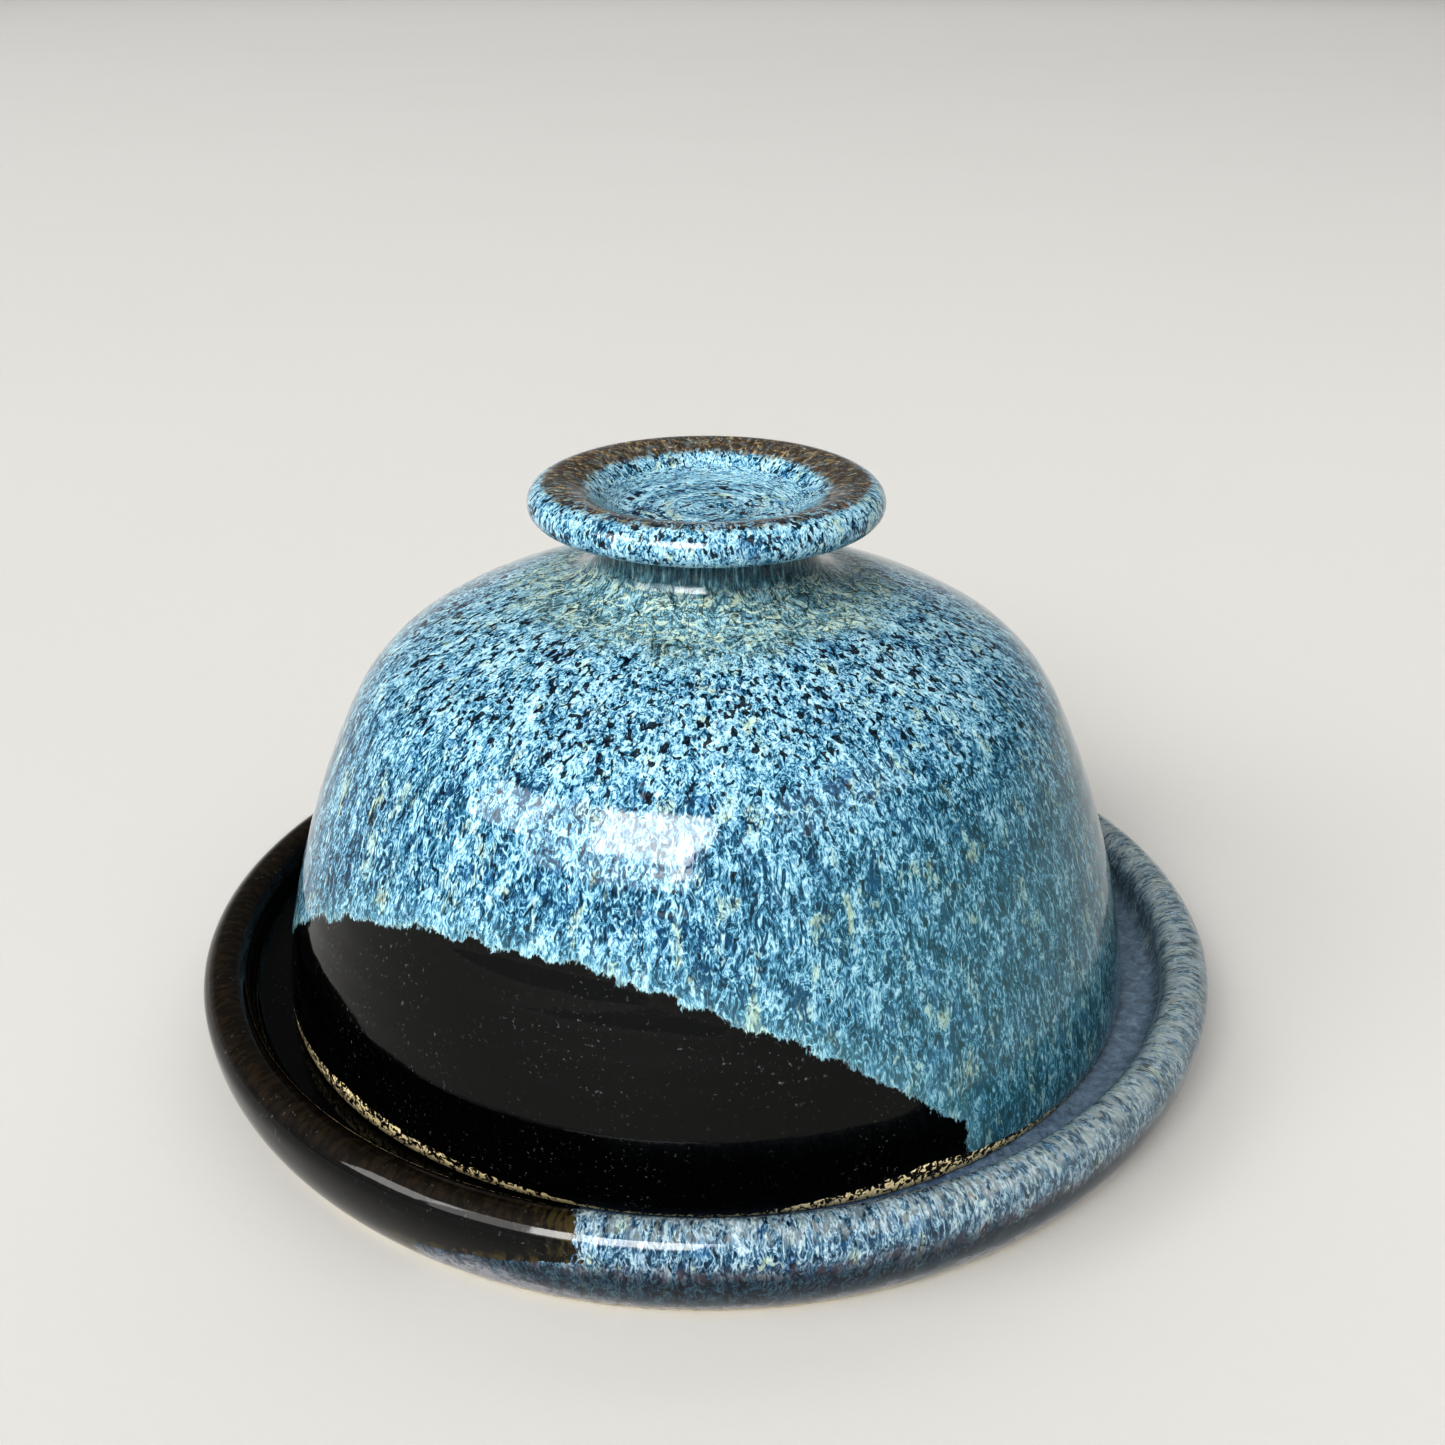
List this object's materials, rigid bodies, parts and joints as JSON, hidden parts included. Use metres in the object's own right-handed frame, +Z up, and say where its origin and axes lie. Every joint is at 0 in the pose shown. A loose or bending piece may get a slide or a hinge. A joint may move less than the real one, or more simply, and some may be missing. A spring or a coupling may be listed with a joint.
{
  "type": "domed serving dish",
  "caption": "Round stoneware serving dish: a low rimmed plate and a lift-off dome with a saucer-shaped knob, in streaked and dark glazes.",
  "frame": {"origin": "under the middle of the plate's foot, on the surface it stands on", "axes": "+Z is up, along the common axis of the plate, dome and knob; the blue side of the glaze faces +X and the dark side -X"},
  "size_m": [0.2008, 0.2008, 0.1097],
  "materials": {
    "plate_glaze": "gloss",
    "dome_glaze": "gloss",
    "knob_glaze": "gloss"
  },
  "bodies": {
    "plate": {"plate": "plate_glaze"},
    "cover": {"dome": "dome_glaze", "knob": "knob_glaze"}
  },
  "joints": [
    {"name": "cover_lift", "type": "slide", "parent": "plate", "child": "cover", "axis": [0, 0, 1], "range_m": [0, 0.12]}
  ]
}
